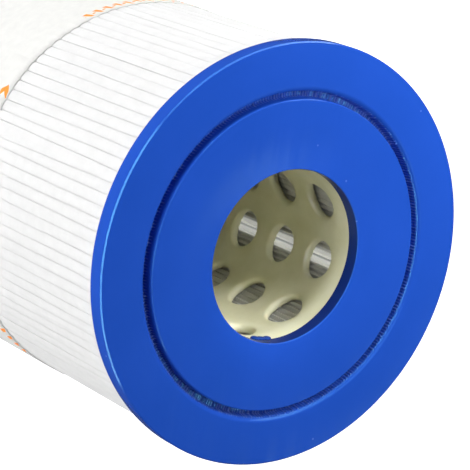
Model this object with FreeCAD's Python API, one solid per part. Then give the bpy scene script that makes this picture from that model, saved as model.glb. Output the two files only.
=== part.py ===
"""Pleated filter cartridge for a pool or spa: a folded sheet round a drilled core, between cast end caps.

The axis is Z. The origin is the centre of the rear cap's outer face, and the front cap is on top.
All sizes are in millimetres.
"""
import math
import os

import FreeCAD
import Part

# Overall sizes
LENGTH = 338.1  # outer face to outer face
CAP_R = 62.7  # outer radius of the end caps

# End caps: discs cast round the ends of the core and the pleats
CAP_THICK = 5.6
OPENING_R = 25.8  # the opening that the pipe fitting enters
EMBED = 1.3  # how deep the core and the pleats are cast into a cap
RIM_ROUND = 0.5
OPENING_ROUND = 0.35

# Ring groove that the mould's standing ring leaves in a cap's outer face
GROOVE_INNER_R = 46.1
GROOVE_MOUTH = 3.1
GROOVE_FLOOR = 2.1
GROOVE_SKIN = 0.25  # cap material left over the pleat ends
GROOVE_INNER_LIP = 0.15
GROOVE_OUTER_LIP = 0.6

# Core: a drilled tube
CORE_STEP = 0.7  # the core's bore clears the caps' opening all round, so that the caps hold its ends
CORE_WALL = 2.9
HOLE_R = 5.5
HOLE_COLUMNS = 9
HOLE_PITCH = 18.9  # along the axis, stretched a little so that whole rows fit
HOLE_FIRST = 17.8  # centre of the first row, from the cap's outer face
HOLE_TURN = -12.0  # degrees, from +X to the first column

# Media: one sheet folded into pleats that stand on the core
PLEATS = 108
MEDIA_THICK = 0.5
PLEAT_INSET = 2.1  # pleat tips to the cap's rim
CORE_GAP = 0.3  # inner folds to the core
TIP_GAP = 0.4  # between the full, rounded folds at the rim
ROOT_GAP = 0.5  # between the tight folds at the core

# Wrap bands: straps round the pleat tips, each with its ends lapped and welded
BAND_WIDTH = 50.0
BAND_THICK = 0.4
BAND_EDGE = 76.2  # near edge, from the cap's outer face
BAND_GAP = 0.1  # pleat tips to the band
LAP_LENGTH = 22.0
LAP_TURN = 250.0  # degrees, from +X to the middle of the lap

CORE_INNER_R = OPENING_R + CORE_STEP
CORE_OUTER_R = CORE_INNER_R + CORE_WALL
TIP_R = CAP_R - PLEAT_INSET
ROOT_R = CORE_OUTER_R + CORE_GAP
TIP_ROUND = (2 * math.pi * TIP_R / PLEATS - TIP_GAP) / 2  # outer radius of a fold at the rim
ROOT_ROUND = (2 * math.pi * ROOT_R / PLEATS - ROOT_GAP) / 2  # outer radius of a fold at the core
END_SETBACK = CAP_THICK - EMBED  # core and pleat ends, from the cap's outer face
UP = FreeCAD.Vector(0, 0, 1)
ORIGIN = FreeCAD.Vector(0, 0, 0)


def polar(radius, angle, z=0.0):
    return FreeCAD.Vector(radius * math.cos(angle), radius * math.sin(angle), z)


def tube(inner, outer, z, height):
    """A straight ring standing on the plane z."""
    return Part.makeCylinder(outer, height, UP * z, UP).cut(Part.makeCylinder(inner, height, UP * z, UP))


def flank_normal(tip, root, spread):
    """Unit normal of the straight flank between two folds, pointing away from the tip fold's centre.

    The flank touches the folds on opposite sides, and spread is the sum of their mid radii.
    """
    along = root - tip
    return polar(1, math.atan2(along.y, along.x) - math.acos(spread / along.Length))


def sheet_wire(face_offset):
    """Closed outline of one face of the folded sheet: +1 is the outer face and -1 the core's side."""
    half = MEDIA_THICK / 2
    tip_mid = TIP_ROUND - half
    root_mid = ROOT_ROUND - half
    tip_radius = tip_mid + face_offset * half
    root_radius = root_mid - face_offset * half
    step = 2 * math.pi / PLEATS
    tip = polar(TIP_R - TIP_ROUND, 0)
    root = polar(ROOT_R + ROOT_ROUND, step / 2)
    normal = flank_normal(tip, root, tip_mid + root_mid)
    flank_top = tip + normal * tip_radius
    flank_foot = root - normal * root_radius
    top_radius = math.hypot(flank_top.x, flank_top.y)
    top_angle = math.atan2(flank_top.y, flank_top.x)
    foot_radius = math.hypot(flank_foot.x, flank_foot.y)
    foot_angle = math.atan2(flank_foot.y, flank_foot.x)
    crest = tip.Length + tip_radius
    valley = root.Length - root_radius
    edges = []
    for k in range(PLEATS):
        here = k * step
        left_top = polar(top_radius, here - top_angle)
        right_top = polar(top_radius, here + top_angle)
        right_foot = polar(foot_radius, here + foot_angle)
        next_foot = polar(foot_radius, here + step - foot_angle)
        next_top = polar(top_radius, here + step - top_angle)
        edges.append(Part.Arc(left_top, polar(crest, here), right_top).toShape())
        edges.append(Part.LineSegment(right_top, right_foot).toShape())
        edges.append(Part.Arc(right_foot, polar(valley, here + step / 2), next_foot).toShape())
        edges.append(Part.LineSegment(next_foot, next_top).toShape())
    return Part.Wire(edges)


def folded_sheet(height):
    """The whole pleated sheet standing on z = 0, as one closed ring of folds."""
    outside = Part.Face(sheet_wire(+1)).extrude(UP * height)
    inside = Part.Face(sheet_wire(-1)).extrude(UP * height)
    return outside.cut(inside)


def pleat_pack():
    pack = folded_sheet(LENGTH - 2 * END_SETBACK)
    pack.translate(UP * END_SETBACK)
    return pack


def hole_rows():
    """Heights of the rows of holes: the pitch is stretched so that both ends start alike."""
    span = LENGTH - 2 * HOLE_FIRST
    count = max(1, round(span / HOLE_PITCH))
    return [HOLE_FIRST + span * k / count for k in range(count + 1)]


def core_tube():
    core = tube(CORE_INNER_R, CORE_OUTER_R, END_SETBACK, LENGTH - 2 * END_SETBACK)
    drills = []
    for z in hole_rows():
        for k in range(HOLE_COLUMNS):
            outwards = polar(1, math.radians(HOLE_TURN) + 2 * math.pi * k / HOLE_COLUMNS)
            drills.append(Part.makeCylinder(HOLE_R, CORE_OUTER_R + 1, UP * z, outwards))
    return core.cut(Part.makeCompound(drills))


def cap_profile():
    """Half section of a cap lying with its outer face on z = 0, as a face in the XZ plane."""
    depth = END_SETBACK - GROOVE_SKIN
    taper = (GROOVE_MOUTH - GROOVE_FLOOR) / 2
    outline = [
        (OPENING_R, 0),
        (GROOVE_INNER_R, 0),
        (GROOVE_INNER_R + taper, depth),
        (GROOVE_INNER_R + taper + GROOVE_FLOOR, depth),
        (GROOVE_INNER_R + GROOVE_MOUTH, 0),
        (CAP_R, 0),
        (CAP_R, CAP_THICK),
        (OPENING_R, CAP_THICK),
    ]
    points = [FreeCAD.Vector(r, 0, z) for r, z in outline]
    return Part.Face(Part.makePolygon(points + points[:1]))


def round_edges(cap):
    """Round the cap's mould edges on its outer face, and the rim's back edge."""
    rounds = {
        (OPENING_R, 0): OPENING_ROUND,
        (GROOVE_INNER_R, 0): GROOVE_INNER_LIP,
        (GROOVE_INNER_R + GROOVE_MOUTH, 0): GROOVE_OUTER_LIP,
        (CAP_R, 0): RIM_ROUND,
        (CAP_R, CAP_THICK): RIM_ROUND,
    }
    for (radius, z), size in rounds.items():
        ring = [
            edge
            for edge in cap.Edges
            if isinstance(edge.Curve, Part.Circle)
            and abs(edge.Curve.Radius - radius) < 0.001
            and abs(edge.Curve.Center.z - z) < 0.001
        ]
        cap = cap.makeFillet(size, ring)
    return cap


def rear_end_cap():
    """The cap with the pockets of the core and the folded sheet. Nothing is cast inside the core."""
    cap = round_edges(cap_profile().revolve(ORIGIN, UP, 360))
    core_pocket = Part.makeCylinder(CORE_OUTER_R, EMBED + 1, UP * END_SETBACK, UP)
    pleat_pocket = folded_sheet(EMBED + 1)
    pleat_pocket.translate(UP * END_SETBACK)
    return cap.cut(core_pocket).cut(pleat_pocket)


def front_end_cap():
    """The same casting turned over about the X axis. The sheet's outline mirrors onto itself."""
    cap = rear_end_cap()
    cap.rotate(ORIGIN, FreeCAD.Vector(1, 0, 0), 180)
    cap.translate(UP * LENGTH)
    return cap


def wrap_band(z):
    """A strap round the pleat tips from z upwards, with its lapped end on the outside."""
    inner = TIP_R + BAND_GAP
    strap = tube(inner, inner + BAND_THICK, z, BAND_WIDTH)
    spread = math.degrees(LAP_LENGTH / inner)
    lap = Part.makeCylinder(inner + 2 * BAND_THICK, BAND_WIDTH, UP * z, UP, spread)
    lap = lap.cut(Part.makeCylinder(inner, BAND_WIDTH, UP * z, UP))
    lap.rotate(ORIGIN, UP, LAP_TURN - spread / 2)
    return strap.fuse(lap).removeSplitter()


NODES = {
    "front_end_cap": front_end_cap(),
    "rear_end_cap": rear_end_cap(),
    "core_tube": core_tube(),
    "pleat_pack": pleat_pack(),
    "front_wrap_band": wrap_band(LENGTH - BAND_EDGE - BAND_WIDTH),
    "rear_wrap_band": wrap_band(BAND_EDGE),
}

os.makedirs("parts", exist_ok=True)
for name, shape in NODES.items():
    shape.exportStep(f"parts/{name}.step")
    print(name, shape.isValid(), len(shape.Solids), len(shape.Faces), round(shape.Volume / 1000, 2), "cm3")
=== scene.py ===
"""A pleated filter cartridge for a pool or spa, standing on its rear cap on a pale studio floor."""
import math

import bmesh
import bpy
from mathutils import Matrix, Vector, noise


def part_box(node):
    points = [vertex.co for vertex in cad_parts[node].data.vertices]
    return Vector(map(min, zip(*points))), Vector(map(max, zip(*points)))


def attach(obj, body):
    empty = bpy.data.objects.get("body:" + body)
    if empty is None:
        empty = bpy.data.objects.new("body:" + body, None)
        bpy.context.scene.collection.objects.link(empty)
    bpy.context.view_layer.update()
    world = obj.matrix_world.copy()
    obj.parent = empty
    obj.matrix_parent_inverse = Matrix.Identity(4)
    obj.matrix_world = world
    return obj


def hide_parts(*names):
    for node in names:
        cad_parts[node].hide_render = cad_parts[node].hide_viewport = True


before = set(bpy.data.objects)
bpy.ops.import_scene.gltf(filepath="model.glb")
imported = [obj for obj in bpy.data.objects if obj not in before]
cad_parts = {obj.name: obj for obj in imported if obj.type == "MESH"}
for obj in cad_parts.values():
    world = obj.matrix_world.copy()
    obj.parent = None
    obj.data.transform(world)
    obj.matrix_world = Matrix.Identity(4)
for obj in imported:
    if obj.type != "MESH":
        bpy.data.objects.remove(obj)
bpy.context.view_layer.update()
MM = 0.001

# --- Camera ---------------------------------------------------------------------------------------
# A long lens looks down on the front cap from the side, with the part's X axis level in the picture.
cap_low, cap_high = (Vector(corner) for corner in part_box("front_end_cap"))
cap_r = (cap_high.x - cap_low.x) / 2
length = cap_high.z
view_from = Vector((-0.59317, 0.20112, 0.77955)).normalized()
aim = Vector((-0.3133 * cap_r, 0.1051 * cap_r, length))
distance = 10.236 * cap_r

up = view_from.cross(Vector((1, 0, 0))).normalized()
right = up.cross(view_from)
turn = Matrix((right, up, view_from)).transposed()
camera = bpy.data.objects.new("camera", bpy.data.cameras.new("camera"))
camera.data.lens = 175.1
camera.data.sensor_width = 36
camera.data.clip_start = 0.05
camera.data.clip_end = 50
camera.matrix_world = Matrix.Translation(aim + view_from * distance) @ turn.to_4x4()
bpy.context.collection.objects.link(camera)
bpy.context.scene.camera = camera


# --- Studio ---------------------------------------------------------------------------------------
# A white sweep that glows to paper white. Two near boxes shade the face of the cap, a ring of low far
# lamps whitens the pleats and the rim, and a snoot sends a narrow beam down the bore.
def colour(hex_code):
    """An sRGB hex colour as linear RGBA."""
    parts = [int(hex_code[k : k + 2], 16) / 255 for k in (0, 2, 4)]
    return [c / 12.92 if c <= 0.04045 else ((c + 0.055) / 1.055) ** 2.4 for c in parts] + [1.0]


def add(tree, kind, settings=None, links=None):
    """Add a node, set its inputs by name or index (or its own properties), and link sockets into it."""
    node = tree.nodes.new(kind)
    for key, value in (settings or {}).items():
        if isinstance(key, int) or key in node.inputs:
            node.inputs[key].default_value = value
        else:
            setattr(node, key, value)
    for key, source in (links or {}).items():
        socket = source.outputs[0] if isinstance(source, bpy.types.Node) else source
        tree.links.new(socket, node.inputs[key])
    return node


def new_material(name):
    """An empty material, its node tree and its Principled shader."""
    material = bpy.data.materials.new(name)
    material.use_nodes = True
    tree = material.node_tree
    tree.nodes.clear()
    shader = add(tree, "ShaderNodeBsdfPrincipled")
    add(tree, "ShaderNodeOutputMaterial", links={"Surface": shader.outputs[0]})
    return material, tree, shader


def soft_box(name, azimuth, elevation, away, size, power):
    """A round soft box turned to the front cap, unseen by the camera (degrees, metres, watts)."""
    turn, lift = math.radians(azimuth), math.radians(elevation)
    towards = Vector((math.cos(turn) * math.cos(lift), math.sin(turn) * math.cos(lift), math.sin(lift)))
    lamp = bpy.data.objects.new(name, bpy.data.lights.new(name, "AREA"))
    lamp.data.shape = "DISK"
    lamp.data.size = size
    lamp.data.energy = power
    lamp.location = Vector((0, 0, length)) + towards * away
    lamp.rotation_euler = towards.to_track_quat("Z", "Y").to_euler()
    lamp.visible_camera = False
    bpy.context.collection.objects.link(lamp)
    return lamp


soft_box("key_box", 50, 42, 0.22, 0.15, 0.4)
soft_box("top_box", 75, 74, 0.3, 0.18, 0.34)
soft_box("bore_fill", 290, 60, 1.0, 0.5, 1.3)
LAMP_AWAY = 2.0
for azimuth, power in ((88, 5.4), (107, 4.9), (126, 4.3), (145, 4.6), (164, 3.4)):
    soft_box("edge_lamp", azimuth, 12, LAMP_AWAY, 0.3, power)
soft_box("far_edge_lamp", 58, 16, LAMP_AWAY, 0.6, 3.8)
soft_box("low_left_box", 178, 8, LAMP_AWAY, 1.2, 14)
soft_box("low_near_box", 222, 10, LAMP_AWAY, 1.2, 7.5)
soft_box("sheen_card", 335, 41, LAMP_AWAY, 0.3, 0.6)

# Lamps that only shine back off gloss, along the curve that the chamfered lips of the cap mirror
for azimuth in range(136, 246, 9):
    lamp = soft_box("lip_lamp", azimuth, 35.7 - (azimuth - 165) ** 2 / 380, LAMP_AWAY, 0.35, 8)
    lamp.visible_diffuse = False
for azimuth in range(51, 120, 11):
    lamp = soft_box("far_lip_lamp", azimuth, 6.5 + (azimuth - 51) * 0.41, LAMP_AWAY, 0.4, 5)
    lamp.visible_diffuse = False

snoot = bpy.data.objects.new("snoot", bpy.data.lights.new("snoot", "SPOT"))
snoot.data.energy = 13
snoot.data.spot_size = math.radians(3.7)
snoot.data.spot_blend = 0.5
snoot.data.shadow_soft_size = 0.01
snoot.location = Vector((0.05, 0.42, length + 0.5))
snoot.rotation_euler = (snoot.location - Vector((0, 0, length))).to_track_quat("Z", "Y").to_euler()
bpy.context.collection.objects.link(snoot)

world = bpy.data.worlds.new("studio")
world.use_nodes = True
world.node_tree.nodes["Background"].inputs["Color"].default_value = colour("FFFFFF")
world.node_tree.nodes["Background"].inputs["Strength"].default_value = 0.06
bpy.context.scene.world = world
bpy.context.scene.view_settings.view_transform = "Standard"

floor_mesh = bmesh.new()
bmesh.ops.create_grid(floor_mesh, x_segments=1, y_segments=1, size=6)
floor_data = bpy.data.meshes.new("floor")
floor_mesh.to_mesh(floor_data)
floor_mesh.free()
floor = bpy.data.objects.new("floor", floor_data)
bpy.context.collection.objects.link(floor)
floor_paint, tree, shader = new_material("matt white sweep")
shader.inputs["Base Color"].default_value = colour("FAFAFA")
shader.inputs["Roughness"].default_value = 0.9
shader.inputs["Emission Color"].default_value = colour("FFFFFF")
shader.inputs["Emission Strength"].default_value = 0.75
floor_data.materials.append(floor_paint)
floor.visible_glossy = False  # a black flag hides the floor from the gloss of the rim


# --- Core tube ------------------------------------------------------------------------------------
# The pleats lean on a moulded ivory tube, drilled all round so that water passes into its bore.
# It is moulded in lengths, so the edges of its holes are soft, and its wall has a low satin gloss.
def finish_piece(name, bm, material, angle=None):
    """Turn a bmesh into an object that rides with the part and takes its finish from a slot."""
    data = bpy.data.meshes.new(name)
    for face in bm.faces:
        face.smooth = True
    if angle is not None:
        for edge in bm.edges:
            edge.smooth = not (len(edge.link_faces) == 2 and edge.calc_face_angle(0) > math.radians(angle))
    bm.to_mesh(data)
    bm.free()
    data.materials.append(material)
    piece = bpy.data.objects.new(name, data)
    bpy.context.collection.objects.link(piece)
    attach(piece, "root")
    return piece


CORE_WALL = 2.9 * MM
HOLE_R = 5.5 * MM
HOLE_COLUMNS = 9
HOLE_TURN = math.radians(-12)
HOLE_PITCH = 18.9 * MM
HOLE_FIRST = 17.8 * MM
HOLE_ROUND = 1.2 * MM
WELD = 0.01 * MM
AXIS = Vector((0, 0, 1))
ORIGIN = Vector((0, 0, 0))

core_low, core_high = (Vector(corner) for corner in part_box("core_tube"))
core_outer = (core_high.x - core_low.x) / 2
core_inner = core_outer - CORE_WALL
gaps_between_rows = round((length - 2 * HOLE_FIRST) / HOLE_PITCH)
row_pitch = (length - 2 * HOLE_FIRST) / gaps_between_rows
cell_width = 2 * math.pi * core_inner / HOLE_COLUMNS

# One flat cell of the wall with its hole: X along the girth, Y along the tube, Z through the wall
bm = bmesh.new()
bmesh.ops.create_grid(bm, x_segments=10, y_segments=10, size=0.5)
inside = [f for f in bm.faces if max(abs(c) for c in f.calc_center_median()) < 0.4]
bmesh.ops.delete(bm, geom=inside, context="FACES")
window = [e for e in bm.edges if e.is_boundary and max(abs(c) for v in e.verts for c in v.co) < 0.45]
bmesh.ops.scale(bm, vec=(cell_width, row_pitch, 1), verts=bm.verts)
new = bmesh.ops.extrude_edge_only(bm, edges=window)["geom"]
lip = [g for g in new if isinstance(g, bmesh.types.BMVert)]
for vert in lip:
    vert.co = vert.co.normalized() * HOLE_R
lip_edges = [g for g in new if isinstance(g, bmesh.types.BMEdge) and all(v in lip for v in g.verts)]
new = bmesh.ops.extrude_edge_only(bm, edges=lip_edges)["geom"]
half_way = [g for g in new if isinstance(g, bmesh.types.BMVert)]
bmesh.ops.translate(bm, vec=AXIS * CORE_WALL / 2, verts=half_way)
bmesh.ops.bevel(
    bm, geom=lip_edges, offset=HOLE_ROUND, segments=3, profile=0.5, affect="EDGES", material=-1
)
back = bmesh.ops.duplicate(bm, geom=bm.verts[:] + bm.edges[:] + bm.faces[:])["geom"]
for vert in back:
    if isinstance(vert, bmesh.types.BMVert):
        vert.co.z = CORE_WALL - vert.co.z
bmesh.ops.remove_doubles(bm, verts=bm.verts, dist=WELD)

# Cells are stacked into a column, the column is curved, and its copies are welded into the tube
bmesh.ops.translate(bm, vec=(0, HOLE_FIRST, 0), verts=bm.verts)
cell = bm.verts[:] + bm.edges[:] + bm.faces[:]
for row in range(1, gaps_between_rows + 1):
    copy = bmesh.ops.duplicate(bm, geom=cell)["geom"]
    raised = [g for g in copy if isinstance(g, bmesh.types.BMVert)]
    bmesh.ops.translate(bm, vec=(0, row * row_pitch, 0), verts=raised)
for vert in bm.verts:
    around = HOLE_TURN + vert.co.x / core_inner
    radius = core_inner + vert.co.z
    vert.co = Vector((radius * math.cos(around), radius * math.sin(around), vert.co.y))
bmesh.ops.remove_doubles(bm, verts=bm.verts, dist=WELD)
bmesh.ops.spin(
    bm,
    geom=bm.verts[:] + bm.edges[:] + bm.faces[:],
    cent=ORIGIN,
    axis=AXIS,
    angle=2 * math.pi * (HOLE_COLUMNS - 1) / HOLE_COLUMNS,
    steps=HOLE_COLUMNS - 1,
    use_duplicate=True,
)
bmesh.ops.remove_doubles(bm, verts=bm.verts, dist=WELD)
for end in (core_low.z, core_high.z):
    edges = [e for e in bm.edges if e.is_boundary and abs(e.verts[0].co.z - end) < row_pitch]
    new = bmesh.ops.extrude_edge_only(bm, edges=edges)["geom"]
    for vert in new:
        if isinstance(vert, bmesh.types.BMVert):
            vert.co.z = end
    inner_loop = [
        g
        for g in new
        if isinstance(g, bmesh.types.BMEdge)
        and g.is_boundary
        and math.hypot(g.verts[0].co.x, g.verts[0].co.y) < core_inner + WELD
    ]
    brim = bmesh.ops.extrude_edge_only(bm, edges=inner_loop)["geom"]
    spread = core_outer / core_inner
    outer_loop = [g for g in brim if isinstance(g, bmesh.types.BMVert)]
    bmesh.ops.scale(bm, vec=(spread, spread, 1), verts=outer_loop)
bmesh.ops.remove_doubles(bm, verts=bm.verts, dist=WELD)
bmesh.ops.recalc_face_normals(bm, faces=bm.faces)

# Polypropylene from a plain mould: satin, faintly mottled, and a little light goes into it
ivory, tree, shader = new_material("moulded ivory polypropylene")
place = add(tree, "ShaderNodeTexCoord").outputs["Object"]
mottle_size = {"Scale": 1 / (9 * MM), "Detail": 4.0, "Roughness": 0.55}
mottle = add(tree, "ShaderNodeTexNoise", mottle_size, {"Vector": place})
tint = add(tree, "ShaderNodeValToRGB", links={"Fac": mottle.outputs["Fac"]})
tint.color_ramp.elements[0].position = 0.3
tint.color_ramp.elements[0].color = colour("D6D4B0")
tint.color_ramp.elements[1].position = 0.7
tint.color_ramp.elements[1].color = colour("E4E2C6")
tree.links.new(tint.outputs["Color"], shader.inputs["Base Color"])
shader.inputs["Roughness"].default_value = 0.42
shader.inputs["IOR"].default_value = 1.49
shader.inputs["Subsurface Weight"].default_value = 0.15
shader.inputs["Subsurface Radius"].default_value = (1.0, 0.8, 0.5)
shader.inputs["Subsurface Scale"].default_value = 1.5 * MM
grain = add(tree, "ShaderNodeTexNoise", {"Scale": 1 / (0.7 * MM), "Detail": 2.0}, {"Vector": place})
depth = {"Strength": 0.15, "Distance": 0.05 * MM}
bump = add(tree, "ShaderNodeBump", depth, {"Height": grain.outputs["Fac"]})
tree.links.new(bump.outputs["Normal"], shader.inputs["Normal"])
core = finish_piece("core_tube_moulding", bm, ivory, angle=50)
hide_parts("core_tube")


# --- Pleated sheet --------------------------------------------------------------------------------
# One long sheet of spunbonded polyester is folded into pleats, joined end to end by a welded seam,
# and stood round the core. The full, flat tips nearly touch, and the straps pinch them narrower.
PLEATS = 108
MEDIA_THICK = 0.5 * MM
CORE_GAP = 0.3 * MM
TIP_GAP = -0.5 * MM
ROOT_GAP = -0.1 * MM
TIP_FLATNESS = 0.1  # height of a free tip's crown against a round one
PINCH_REACH = 5 * MM  # how far from a strap its pinch is felt
SETTLE = 16 * MM  # how far from a cap the folds are free to wander
SEAM_PLEAT = 48
STRAY = (0.34, 0.14)  # mm that a line between folds strays, in long and in short waves
TIP_SINK = (0.22, -0.1)  # mm that a tip's height wanders, and its mean
PINCHED_CROWN = 0.14  # how much rounder a tip is under a strap
PINCHED_SIDE = 0.1  # and how much narrower
ROOT_BUNCH = 0.5  # mm that a root may stand in towards the core
# the proud roots listed next are also the ones that glow with painted light
PROUD_ROOTS = [(105, 1), (106, -1), (104, 1), (105, -1)]  # half folds that press into the core's holes
PROUD_BUNCH = 1.2
PROUD_SHIFT = 0.8 * MM

pack_low, pack_high = (Vector(corner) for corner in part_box("pleat_pack"))
bands = [[corner[2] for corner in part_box(node)] for node in ("rear_wrap_band", "front_wrap_band")]
tip_r = (pack_high.x - pack_low.x) / 2
root_r = core_outer + CORE_GAP
step = 2 * math.pi / PLEATS
tip_round = (step * tip_r - TIP_GAP) / 2
root_round = (step * root_r - ROOT_GAP) / 2
tip_mid = tip_round - MEDIA_THICK / 2
root_mid = root_round - MEDIA_THICK / 2


def polar(radius, angle, z=0.0):
    return Vector((radius * math.cos(angle), radius * math.sin(angle), z))


# Half a pleat from its crest to the valley, mirrored, and repeated round the core
bm = bmesh.new()
tip = polar(tip_r - tip_round, 0)
root = polar(root_r + root_round, step / 2)
along = root - tip
heading = math.atan2(along.y, along.x) - math.acos((tip_mid + root_mid) / along.length)
crest = bm.verts.new(tip + Vector((tip_mid, 0, 0)))
arc = bmesh.ops.spin(bm, geom=[crest], cent=tip, axis=AXIS, angle=heading, steps=3, use_duplicate=False)
flank_top = arc["geom_last"][0]
flank_foot = bm.verts.new(root - polar(root_mid, heading))
bm.edges.new((flank_top, flank_foot))
to_valley = step / 2 - heading
bmesh.ops.spin(bm, geom=[flank_foot], cent=root, axis=AXIS, angle=to_valley, steps=1, use_duplicate=False)
bmesh.ops.mirror(bm, geom=bm.verts[:] + bm.edges[:], merge_dist=WELD, axis="Y")
bmesh.ops.remove_doubles(bm, verts=bm.verts, dist=WELD)
bmesh.ops.spin(
    bm,
    geom=bm.verts[:] + bm.edges[:],
    cent=ORIGIN,
    axis=AXIS,
    angle=2 * math.pi - step,
    steps=PLEATS - 1,
    use_duplicate=True,
)
bmesh.ops.remove_doubles(bm, verts=bm.verts, dist=WELD)

# The folded line is drawn up through stations that crowd together beside the straps
near_strap = [k * MM for k in (3, 6.5, 11, 18)]
stations = {pack_low.z + k * MM for k in (5, 14, 28, 42)}
stations |= {pack_high.z - k * MM for k in (0, 5, 14, 28, 42)}
stations |= {z + share * (top - z) for z, top in bands for share in (0, 0.25, 0.5, 0.75, 1)}
stations |= {z - reach for z, top in bands for reach in near_strap}
stations |= {top + reach for z, top in bands for reach in near_strap}
stations.add((pack_low.z + pack_high.z) / 2)
bmesh.ops.translate(bm, vec=AXIS * pack_low.z, verts=bm.verts)
edges = bm.edges[:]
height = pack_low.z
for station in sorted(stations):
    new = bmesh.ops.extrude_edge_only(bm, edges=edges)["geom"]
    edges = [g for g in new if isinstance(g, bmesh.types.BMEdge)]
    raised = [g for g in new if isinstance(g, bmesh.types.BMVert)]
    bmesh.ops.translate(bm, vec=AXIS * (station - height), verts=raised)
    height = station


def wander(a, b, seed):
    """A smooth random number from -1 to 1 for fold a at place b."""
    return noise.noise(Vector((a * 1.37 + 0.5, b, seed * 17.3 + 0.5)))


def pinch(z):
    """1 under a strap, falling to 0 away from it."""
    away = min(max(low - z, z - top, 0) for low, top in bands)
    return math.exp(-away / PINCH_REACH)


def crease(fold, z, away):
    """How far the line between a fold and the next one strays along the girth, settling beside the caps."""
    free = min(1.0, away / SETTLE)
    fold %= PLEATS
    stray = STRAY[0] * wander(fold, z / (60 * MM), 1) + STRAY[1] * wander(fold, z / (14 * MM), 2)
    seam = {SEAM_PLEAT - 1: -0.5, SEAM_PLEAT: 0.9}.get(fold, 0) * min(1, away / (60 * MM))
    return (stray * free + seam) * MM


# The mesh is bent fold by fold; at two roots the cloth lies single and is marked for a painted glow
thin = bm.verts.layers.float.new("thin")
for vert in bm.verts:
    radius = math.hypot(vert.co.x, vert.co.y)
    around = math.atan2(vert.co.y, vert.co.x)
    k = round(around / step)
    z = vert.co.z
    away = min(z - pack_low.z, pack_high.z - z)
    free = min(1.0, away / SETTLE)
    squeezed = pinch(z)
    depth = min(1.0, max(0.0, (radius - root_r - root_round) / (tip.x - root_r - root_round)))
    aside = (around - k * step) * radius
    share = min(1.0, max(-1.0, aside / tip_mid)) * depth
    before, after = crease(k - 1, z, away), crease(k, z, away)
    crown = max(0.0, radius - tip.x) / tip_mid
    ridge = squeezed * (0.75 + 0.45 * wander(k % PLEATS, 0.3, 3))
    if depth >= 1:
        drop = tip_mid * (crown - 1)
        radius += drop * (TIP_FLATNESS + PINCHED_CROWN * ridge) - drop
    middle = (before + after) / 2
    aside += depth * (middle + share * (after - before) / 2)
    aside *= 1 - PINCHED_SIDE * ridge * (1 - (1 - crown) ** 3) * (depth >= 1)
    sink = TIP_SINK[0] * wander(k % PLEATS, z / (60 * MM), 4) + TIP_SINK[1]
    sink *= free * depth * (1 - squeezed)
    side = 1 if aside > 0 else -1
    bunch = ROOT_BUNCH * max(0.0, wander(k * 2 % (2 * PLEATS) + side, z / (30 * MM), 5)) * (1 - depth)
    if (k % PLEATS, side) in PROUD_ROOTS:
        bunch = PROUD_BUNCH * (1 - depth)
        # painted glow: the proud roots are marked to shine, strongest at the fold
        vert[thin] = 1 - depth
        aside -= (PROUD_SHIFT if (k % PLEATS, side) in PROUD_ROOTS[2:] else 0) * (1 - depth)
    vert.co = polar(radius + (sink - bunch) * MM, k * step + aside / radius, z)
bmesh.ops.recalc_face_normals(bm, faces=bm.faces)

# Fine fibres laid at random and bonded by heat: matt white, cloudy where it lies thicker, and with a
# painted glow at two roots
media, tree, shader = new_material("spunbonded polyester felt")
place = add(tree, "ShaderNodeTexCoord").outputs["Object"]
cloud_size = {"Scale": 1 / (4 * MM), "Detail": 5.0, "Roughness": 0.65}
cloud = add(tree, "ShaderNodeTexNoise", cloud_size, {"Vector": place})
tint = add(tree, "ShaderNodeValToRGB", links={"Fac": cloud.outputs["Fac"]})
tint.color_ramp.elements[0].position = 0.25
tint.color_ramp.elements[0].color = colour("D4D4D4")
tint.color_ramp.elements[1].position = 0.75
tint.color_ramp.elements[1].color = colour("DBDBDB")
tree.links.new(tint.outputs["Color"], shader.inputs["Base Color"])
shader.inputs["Roughness"].default_value = 0.85
shader.inputs["Specular IOR Level"].default_value = 0.25
shader.inputs["Subsurface Weight"].default_value = 0.7
shader.inputs["Subsurface Radius"].default_value = (1.0, 1.0, 1.0)
shader.inputs["Subsurface Scale"].default_value = 2.2 * MM
fibre_size = {"Scale": 1 / (0.5 * MM), "Detail": 4.0, "Roughness": 0.7}
fibre = add(tree, "ShaderNodeTexNoise", fibre_size, {"Vector": place})
depth = {"Strength": 0.25, "Distance": 0.08 * MM}
bump = add(tree, "ShaderNodeBump", depth, {"Height": fibre.outputs["Fac"]})
tree.links.new(bump.outputs["Normal"], shader.inputs["Normal"])
# Painted light: the marked roots glow faintly off-white, though no lamp lights them from behind
painted_root_glow = add(tree, "ShaderNodeAttribute", {"attribute_name": "thin"})
at_root = add(tree, "ShaderNodeMath", {"operation": "POWER", 1: 8.0}, {0: painted_root_glow.outputs["Fac"]})
painted_glow_strength = add(tree, "ShaderNodeMath", {"operation": "MULTIPLY", 1: 0.25}, {0: at_root})
shader.inputs["Emission Color"].default_value = colour("F6F8F4")
tree.links.new(painted_glow_strength.outputs[0], shader.inputs["Emission Strength"])
pleats = finish_piece("pleated_sheet", bm, media, angle=40)
cloth = pleats.modifiers.new("cloth thickness", "SOLIDIFY")
cloth.thickness = MEDIA_THICK
cloth.offset = 0
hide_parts("pleat_pack")


# --- End caps -------------------------------------------------------------------------------------
# Soft blue polyurethane, poured into a round mould so that it sets round the ends of the core and
# the pleats. The mould's standing ring leaves a groove, with the ends of the folds on its floor.
CAP_THICK = 5.6 * MM
OPENING_R = 25.8 * MM
GROOVE_INNER_R = 46.1 * MM
GROOVE_MOUTH = 2.5 * MM
GROOVE_FLOOR = 1.5 * MM
GROOVE_DEPTH = 3.7 * MM
LIP_ROUNDS = {2: (0.35, 3), 3: (0.26, 1), 6: (1.4, 6), 7: (0.36, 1), 8: (0.5, 3)}  # corner: mm, segments
FLASH_SIZE = (0.65 * MM, 1.2 * MM)  # a drip's reach into the bore, and its height
CAP_STEPS = 12 * PLEATS
TICKS_PER_PLEAT = 3  # ends of folds and creases that show on the floor of the groove

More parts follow.
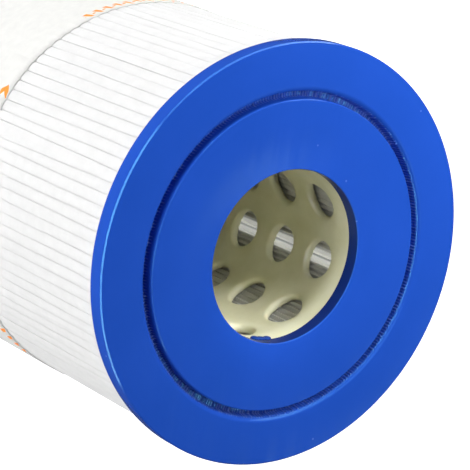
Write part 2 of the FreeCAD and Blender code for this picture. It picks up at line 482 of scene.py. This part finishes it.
setback = length - core_high.z
taper = (GROOVE_MOUTH - GROOVE_FLOOR) / 2
groove_outer_r = GROOVE_INNER_R + GROOVE_MOUTH

# Pigmented polyurethane from an open mould: a smooth skin with slow ripples of flow, a few specks of
# lint, pale fold ends down in the groove, and painted shade that darkens the wall of the bore to navy
urethane, tree, shader = new_material("cast blue polyurethane")
place = add(tree, "ShaderNodeTexCoord").outputs["Object"]
cloud_size = {"Scale": 1 / (26 * MM), "Detail": 3.0, "Roughness": 0.5}
cloud = add(tree, "ShaderNodeTexNoise", cloud_size, {"Vector": place})
tint = add(tree, "ShaderNodeValToRGB", links={"Fac": cloud.outputs["Fac"]})
tint.color_ramp.elements[0].position = 0.3
tint.color_ramp.elements[0].color = colour("1D4AB0")
tint.color_ramp.elements[1].position = 0.7
tint.color_ramp.elements[1].color = colour("204DB6")
lint = add(tree, "ShaderNodeTexVoronoi", {"Scale": 1 / (11 * MM)}, {"Vector": place})
speck_range = {"From Min": 0.02, "From Max": 0.035, "To Min": 0.35, "To Max": 0.0}
speck = add(tree, "ShaderNodeMapRange", speck_range, {"Value": lint.outputs["Distance"]})
fold_ends = add(tree, "ShaderNodeAttribute", {"attribute_name": "fold_end"}).outputs["Fac"]
# Painted shade: the next mask mixes dark navy into the wall of the bore and onto the drips in it
bore_painted_shade = add(tree, "ShaderNodeAttribute", {"attribute_name": "bore_painted_shade"}).outputs["Fac"]
paint = tint.outputs["Color"]
for share, hex_code in ((speck, "7F9FE6"), (fold_ends, "7E9AE0"), (bore_painted_shade, "12286B")):
    over = {"data_type": "RGBA", 7: colour(hex_code)}
    paint = add(tree, "ShaderNodeMix", over, {0: share, 6: paint}).outputs[2]
tree.links.new(paint, shader.inputs["Base Color"])
shader.inputs["Roughness"].default_value = 0.17
shader.inputs["IOR"].default_value = 1.5
shader.inputs["Specular IOR Level"].default_value = 0.22
shader.inputs["Specular Tint"].default_value = colour("7CDCFF")
flow_size = (1 / (6 * MM), 1 / (60 * MM), 1 / (20 * MM))
flow = add(tree, "ShaderNodeMapping", {"Scale": flow_size}, {"Vector": place})
ripple_size = {"Scale": 1.0, "Detail": 2.0, "Roughness": 0.4}
ripple = add(tree, "ShaderNodeTexNoise", ripple_size, {"Vector": flow})
depth = {"Strength": 0.35, "Distance": 0.5 * MM}
bump = add(tree, "ShaderNodeBump", depth, {"Height": ripple.outputs["Fac"]})
grit = add(tree, "ShaderNodeTexNoise", {"Scale": 1 / (0.9 * MM), "Detail": 3.0}, {"Vector": place})
depth = {"Strength": 0.2, "Distance": 0.02 * MM}
skin = add(tree, "ShaderNodeBump", depth, {"Height": grit.outputs["Fac"], "Normal": bump.outputs["Normal"]})
tree.links.new(skin.outputs["Normal"], shader.inputs["Normal"])


def cast_cap(name, node, outer_z, up_sign, seed, flash):
    """A cap whose outer face lies at outer_z and looks along up_sign, with drips of flash on the core."""
    bm = bmesh.new()
    outline = [
        (core_inner, setback),
        (OPENING_R, setback),
        (OPENING_R, 0),
        (GROOVE_INNER_R, 0),
        (GROOVE_INNER_R + taper, GROOVE_DEPTH),
        (groove_outer_r - taper, GROOVE_DEPTH),
        (groove_outer_r, 0),
        (cap_r, 0),
        (cap_r, CAP_THICK),
        (core_inner, CAP_THICK),
    ]
    verts = [bm.verts.new((r, 0, -z)) for r, z in outline]
    edges = [bm.edges.new((verts[k], verts[(k + 1) % len(verts)])) for k in range(len(verts))]
    bmesh.ops.subdivide_edges(bm, edges=[edges[4]], cuts=3)
    bmesh.ops.subdivide_edges(bm, edges=[edges[3], edges[5]], cuts=1)
    bmesh.ops.spin(
        bm,
        geom=bm.verts[:] + bm.edges[:],
        cent=ORIGIN,
        axis=AXIS,
        angle=2 * math.pi,
        steps=CAP_STEPS,
        use_merge=True,
    )
    for corner, (size, segments) in LIP_ROUNDS.items():
        r, z = outline[corner]
        corner_at = Vector((r, -z))
        ring = [
            e
            for e in bm.edges
            if all((Vector((v.co.xy.length, v.co.z)) - corner_at).length < WELD for v in e.verts)
        ]
        bmesh.ops.bevel(
            bm, geom=ring, offset=size * MM, segments=segments, profile=0.5, affect="EDGES", material=-1
        )
    fold_end = bm.verts.layers.float.new("fold_end")
    bore_painted_shade = bm.verts.layers.float.new("bore_painted_shade")
    for vert in bm.verts:
        radius = math.hypot(vert.co.x, vert.co.y)
        depth = -vert.co.z
        # the wall of the bore, below its rounded rim, is marked for painted shade
        vert[bore_painted_shade] = 1 if radius < OPENING_R + 0.1 * MM and depth > 0.2 * MM else 0
        if depth < 1.0 * MM or not GROOVE_INNER_R + 0.7 * taper < radius < groove_outer_r + WELD:
            continue
        tick = math.atan2(vert.co.y, vert.co.x) / step * TICKS_PER_PLEAT
        near = max(0, 1 - 3 * abs(tick - round(tick)))
        size = near * (0.6 + 0.6 * wander(round(tick) % (TICKS_PER_PLEAT * PLEATS), 0.5, seed))
        on_floor = depth > GROOVE_DEPTH - WELD
        vert[fold_end] = size * (1 if on_floor else 0.5)
        vert.co.z += (1.0 if on_floor else 0.2) * size * MM
        vert.co.x *= 1 - 0.35 * size * MM / radius
        vert.co.y *= 1 - 0.35 * size * MM / radius
    bmesh.ops.recalc_face_normals(bm, faces=bm.faces)
    if up_sign < 0:
        bmesh.ops.rotate(bm, cent=ORIGIN, matrix=Matrix.Rotation(math.pi, 3, "X"), verts=bm.verts)
    bmesh.ops.translate(bm, vec=AXIS * outer_z, verts=bm.verts)
    for around, width in flash:
        turn = math.radians(around)
        drop = Matrix.Translation(polar(OPENING_R, turn, outer_z - (setback + 0.9 * MM) * up_sign))
        spread = Matrix.Diagonal((FLASH_SIZE[0], width / 2 * MM, FLASH_SIZE[1], 1))
        turned = drop @ Matrix.Rotation(turn, 4, "Z") @ spread
        drip = bmesh.ops.create_icosphere(bm, subdivisions=3, radius=1, matrix=turned)["verts"]
        # the drips in the bore take most of the same painted shade
        for vert in drip:
            vert[bore_painted_shade] = 0.8
    cap = finish_piece(name, bm, urethane, angle=35)
    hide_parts(node)


front_flash = [(-96, 3.4), (-92, 4.6), (-87, 3.0)]  # degrees round the opening, and width in mm
cast_cap("front_cap_casting", "front_end_cap", length, 1, 5, flash=front_flash)
cast_cap("rear_cap_casting", "rear_end_cap", 0, -1, 6, flash=[(40, 3.0), (160, 2.4)])


# --- Wrap bands -----------------------------------------------------------------------------------
# Straps of thin spunbonded cloth drawn round the pleat tips. Each is pulled straight from tip to
# tip, sags a little between them, and is welded where its ends lap. The print is plain ink marks.
BAND_THICK = 0.4 * MM
BAND_STEPS = 6 * PLEATS
BAND_ROWS = 20
LAP_TURN = math.radians(250)
LAP_LENGTH = 22 * MM
MARK_GROUPS = 3
girth = 2 * math.pi * (tip_r + 0.1 * MM) / MM

# Thin white cloth bonded in small points, with a printed edge: bars with a dot between them in rows,
# and an arrow head after each row. The ink is bright orange, a little worn. Sizes here are in mm.
BAR_PITCH = 3.6
BAR = (0.3, 1.9)
BAR_ROW = (0, 43)
BAR_HEIGHT = (0.9, 4.4)
BAR_SLANT = -0.35
DOT_AT = (2.75, 2.6)
DOT_SIZE = 0.28
ARROW = (74.9, 77.5)
ARROW_HEIGHT = (0.5, 4.8)
ARROW_TIP = 2.8
FIRST_ROW = 77 / 360 * girth
EDGE_BLUR = 1 / 8
WELD_PITCH = 1.5

band_cloth, tree, shader = new_material("thin spunbonded strap")
chart = add(tree, "ShaderNodeUVMap", {"uv_map": "millimetres"}).outputs["UV"]
split = add(tree, "ShaderNodeSeparateXYZ", links={"Vector": chart})
along, across = split.outputs["X"], split.outputs["Y"]


def stripe(value, low, high):
    """A stripe of ink, 1 where a value lies between two bounds, with a slightly soft edge."""
    half = (high - low) / 2
    off = add(tree, "ShaderNodeMath", {"operation": "SUBTRACT", 1: (low + high) / 2}, {0: value})
    off = add(tree, "ShaderNodeMath", {"operation": "ABSOLUTE"}, {0: off})
    edge = {"From Min": half, "From Max": half - EDGE_BLUR, "To Min": 0.0, "To Max": 1.0}
    return add(tree, "ShaderNodeMapRange", edge, {"Value": off})


off_row = add(tree, "ShaderNodeMath", {"operation": "SUBTRACT", 1: FIRST_ROW}, {0: along})
group = add(tree, "ShaderNodeMath", {"operation": "WRAP", 1: girth / MARK_GROUPS, 2: 0.0}, {0: off_row})
lean = add(tree, "ShaderNodeMath", {"operation": "MULTIPLY_ADD", 1: BAR_SLANT}, {0: across, 2: group})
slanted = add(tree, "ShaderNodeMath", {"operation": "WRAP", 1: BAR_PITCH, 2: 0.0}, {0: lean})
in_row = stripe(group, *BAR_ROW)
bars = add(tree, "ShaderNodeMath", {"operation": "MULTIPLY"}, {0: stripe(slanted, *BAR), 1: in_row})
bars = add(tree, "ShaderNodeMath", {"operation": "MULTIPLY"}, {0: bars, 1: stripe(across, *BAR_HEIGHT)})
dot_x = add(tree, "ShaderNodeMath", {"operation": "SUBTRACT", 1: DOT_AT[0]}, {0: slanted})
dot_x = add(tree, "ShaderNodeMath", {"operation": "POWER", 1: 2.0}, {0: dot_x})
dot_y = add(tree, "ShaderNodeMath", {"operation": "SUBTRACT", 1: DOT_AT[1]}, {0: across})
dot_y = add(tree, "ShaderNodeMath", {"operation": "POWER", 1: 2.0}, {0: dot_y})
from_dot = add(tree, "ShaderNodeMath", {"operation": "ADD"}, {0: dot_x, 1: dot_y})
dots = stripe(from_dot, -1, DOT_SIZE)
dots = add(tree, "ShaderNodeMath", {"operation": "MULTIPLY"}, {0: dots, 1: in_row})
slope = add(tree, "ShaderNodeMath", {"operation": "SUBTRACT", 1: ARROW_TIP}, {0: across})
slope = add(tree, "ShaderNodeMath", {"operation": "ABSOLUTE"}, {0: slope})
slope = add(tree, "ShaderNodeMath", {"operation": "SUBTRACT"}, {0: group, 1: slope})
arrow = stripe(slope, *ARROW)
arrow = add(tree, "ShaderNodeMath", {"operation": "MULTIPLY"}, {0: arrow, 1: stripe(across, *ARROW_HEIGHT)})
ink = add(tree, "ShaderNodeMath", {"operation": "MAXIMUM"}, {0: bars, 1: dots})
ink = add(tree, "ShaderNodeMath", {"operation": "MAXIMUM"}, {0: ink, 1: arrow})
rubbed = add(tree, "ShaderNodeTexNoise", {"Scale": 1.4, "Detail": 4.0, "Roughness": 0.7}, {"Vector": chart})
wear = {"From Min": 0.35, "From Max": 0.6, "To Min": 0.88, "To Max": 1.0}
worn = add(tree, "ShaderNodeMapRange", wear, {"Value": rubbed.outputs["Fac"]})
inked = add(tree, "ShaderNodeMath", {"operation": "MULTIPLY"}, {0: ink, 1: worn})
cloud = add(tree, "ShaderNodeTexNoise", {"Scale": 0.35, "Detail": 5.0, "Roughness": 0.6}, {"Vector": chart})
tint = add(tree, "ShaderNodeValToRGB", links={"Fac": cloud.outputs["Fac"]})
tint.color_ramp.elements[0].position = 0.3
tint.color_ramp.elements[0].color = colour("CECECC")
tint.color_ramp.elements[1].position = 0.7
tint.color_ramp.elements[1].color = colour("D5D5D2")
orange = {"data_type": "RGBA", 7: colour("F98A0A")}
printed = add(tree, "ShaderNodeMix", orange, {0: inked, 6: tint.outputs["Color"]})
tree.links.new(printed.outputs[2], shader.inputs["Base Color"])
shader.inputs["Roughness"].default_value = 0.8
shader.inputs["Specular IOR Level"].default_value = 0.25
shader.inputs["Subsurface Weight"].default_value = 0.5
shader.inputs["Subsurface Radius"].default_value = (1.0, 1.0, 1.0)
shader.inputs["Subsurface Scale"].default_value = 0.8 * MM
bonds = add(tree, "ShaderNodeTexVoronoi", {"Scale": 1 / 1.2}, {"Vector": chart})
point = {"From Min": 0.1, "From Max": 0.35, "To Min": 0.0, "To Max": 1.0}
pressed = add(tree, "ShaderNodeMapRange", point, {"Value": bonds.outputs["Distance"]})

# The weld in the lap is pressed by a roller with a crosshatch
lap_from = (LAP_TURN * (tip_r + 0.1 * MM)) / MM
hatch = []
for operation in ("ADD", "SUBTRACT"):
    line = add(tree, "ShaderNodeMath", {"operation": operation}, {0: along, 1: across})
    line = add(tree, "ShaderNodeMath", {"operation": "MULTIPLY", 1: math.pi / WELD_PITCH}, {0: line})
    hatch.append(add(tree, "ShaderNodeMath", {"operation": "SINE"}, {0: line}))
weave = add(tree, "ShaderNodeMath", {"operation": "MULTIPLY"}, {0: hatch[0], 1: hatch[1]})
in_weld = stripe(along, lap_from + 5, lap_from + LAP_LENGTH / MM - 5)
weave = add(tree, "ShaderNodeMath", {"operation": "MULTIPLY"}, {0: weave, 1: in_weld})
weld = add(tree, "ShaderNodeMath", {"operation": "MULTIPLY_ADD", 1: 2.0}, {0: weave, 2: pressed})
bump = add(tree, "ShaderNodeBump", {"Strength": 0.3, "Distance": 0.06 * MM}, {"Height": weld})
tree.links.new(bump.outputs["Normal"], shader.inputs["Normal"])


def wrap_band(name, node, seed):
    """A strap in a node's place, with its printed edge towards the front cap."""
    low, high = (Vector(corner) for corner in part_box(node))
    bm = bmesh.new()
    inner = tip_r + 0.1 * MM
    start = bm.verts.new((inner, 0, low.z))
    edges = [bm.edges.new((start, bm.verts.new((inner, 0, high.z))))]
    bmesh.ops.subdivide_edges(bm, edges=edges, cuts=BAND_ROWS - 1)
    bmesh.ops.spin(
        bm,
        geom=bm.verts[:] + bm.edges[:],
        cent=ORIGIN,
        axis=AXIS,
        angle=2 * math.pi,
        steps=BAND_STEPS,
        use_merge=True,
    )
    chart = bm.loops.layers.uv.new("millimetres")
    for face in bm.faces:
        turns = [math.atan2(v.co.y, v.co.x) % (2 * math.pi) for v in face.verts]
        for loop, turn in zip(face.loops, turns):
            turn += 2 * math.pi if max(turns) - turn > math.pi else 0
            loop[chart].uv = (turn * inner / MM, (high.z - loop.vert.co.z) / MM)
    for vert in bm.verts:
        around = math.atan2(vert.co.y, vert.co.x)
        k = round(around / step)
        between_tips = abs(around / step - k) * 2
        near_edge = min(vert.co.z - low.z, high.z - vert.co.z) / (8 * MM)
        at_edge = max(0, 1 - near_edge)
        drop = (0.1 + 0.25 * at_edge) * between_tips * between_tips
        past = (around - LAP_TURN) % (2 * math.pi) * inner
        doubled = min(1, past / (0.7 * MM)) * min(1, max(0, (LAP_LENGTH - past) / (6 * MM)))
        lump = 0.12 * wander(k, vert.co.z / (30 * MM), seed)
        radius = inner + (lump - 0.12 - drop) * MM + doubled * BAND_THICK
        wave = 0.35 * MM * noise.noise(Vector((math.cos(around) * 6, math.sin(around) * 6, seed)))
        vert.co = polar(radius, around, vert.co.z + wave * at_edge)
    bmesh.ops.recalc_face_normals(bm, faces=bm.faces)
    band = finish_piece(name, bm, band_cloth)
    cloth = band.modifiers.new("strap thickness", "SOLIDIFY")
    cloth.thickness = BAND_THICK
    cloth.offset = 1
    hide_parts(node)


wrap_band("front_strap", "front_wrap_band", 7)
wrap_band("rear_strap", "rear_wrap_band", 8)
